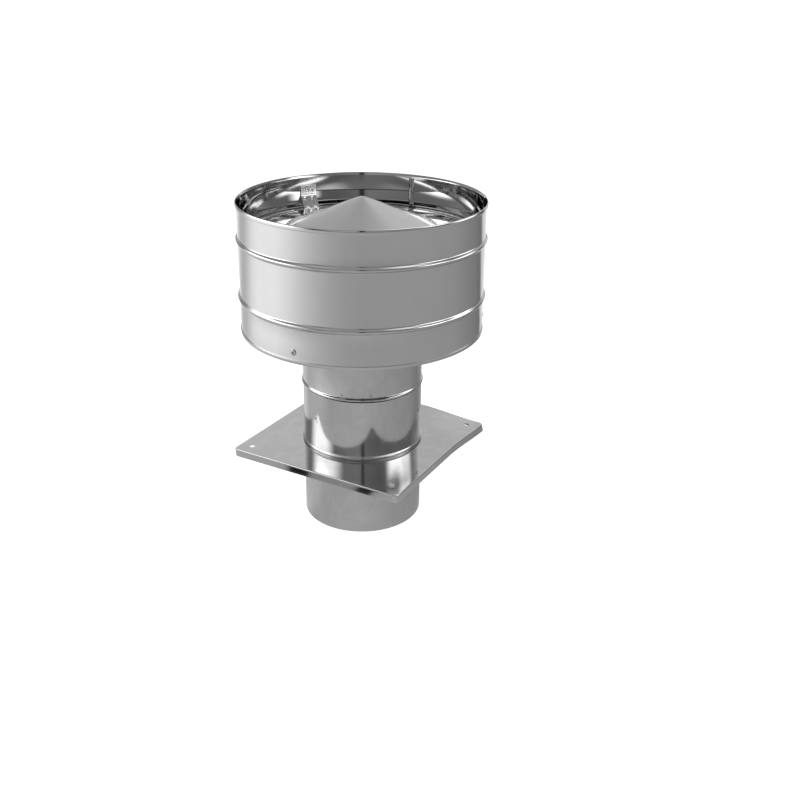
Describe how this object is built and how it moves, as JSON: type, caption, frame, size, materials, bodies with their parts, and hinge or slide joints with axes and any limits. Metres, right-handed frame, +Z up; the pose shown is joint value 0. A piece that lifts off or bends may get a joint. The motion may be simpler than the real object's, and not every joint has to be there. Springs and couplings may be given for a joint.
{
  "type": "roof flue wind cowl",
  "caption": "Cylindrical wind cowl for a round flue: beaded open drum on brackets round a flared tube end, a double cone cap inside it, and a square folded roof plate.",
  "frame": {"origin": "centre of the base tube's open bottom end, on the cowl's axis", "axes": "+Z up along the flue's axis, towards the cap; X and Y along the sides of the square roof plate, with the first bracket on -Y"},
  "size_m": [0.2238, 0.2238, 0.3069],
  "materials": {
    "drum_steel": "bright rolled stainless sheet, faint vertical reflections",
    "tube_steel": "bright rolled stainless sheet",
    "plate_steel": "bright flat stainless sheet, folded edges",
    "brim_steel": "bright stainless sheet, almost a mirror",
    "cone_steel": "satin stainless sheet",
    "bracket_steel": "bright stainless strip with sheared edges",
    "rivet_steel": "satin stainless",
    "pin_steel": "dull broken steel pin"
  },
  "bodies": {
    "root": {"base_tube": "tube_steel", "base_plate": "plate_steel", "neck_tube": "tube_steel", "tube_rivets": "rivet_steel", "diffuser": "tube_steel", "outer_drum": "drum_steel", "lower_bracket_a": "bracket_steel", "lower_bracket_b": "bracket_steel", "lower_bracket_c": "bracket_steel", "drum_rivets": "rivet_steel", "drum_rivet_pins": "pin_steel", "neck_rivets": "rivet_steel", "neck_rivet_pins": "pin_steel", "upper_bracket_a": "bracket_steel", "upper_bracket_b": "bracket_steel", "upper_bracket_c": "bracket_steel", "cap_brim": "brim_steel", "rain_cone": "cone_steel", "reverse_cone": "cone_steel"}
  },
  "joints": []
}
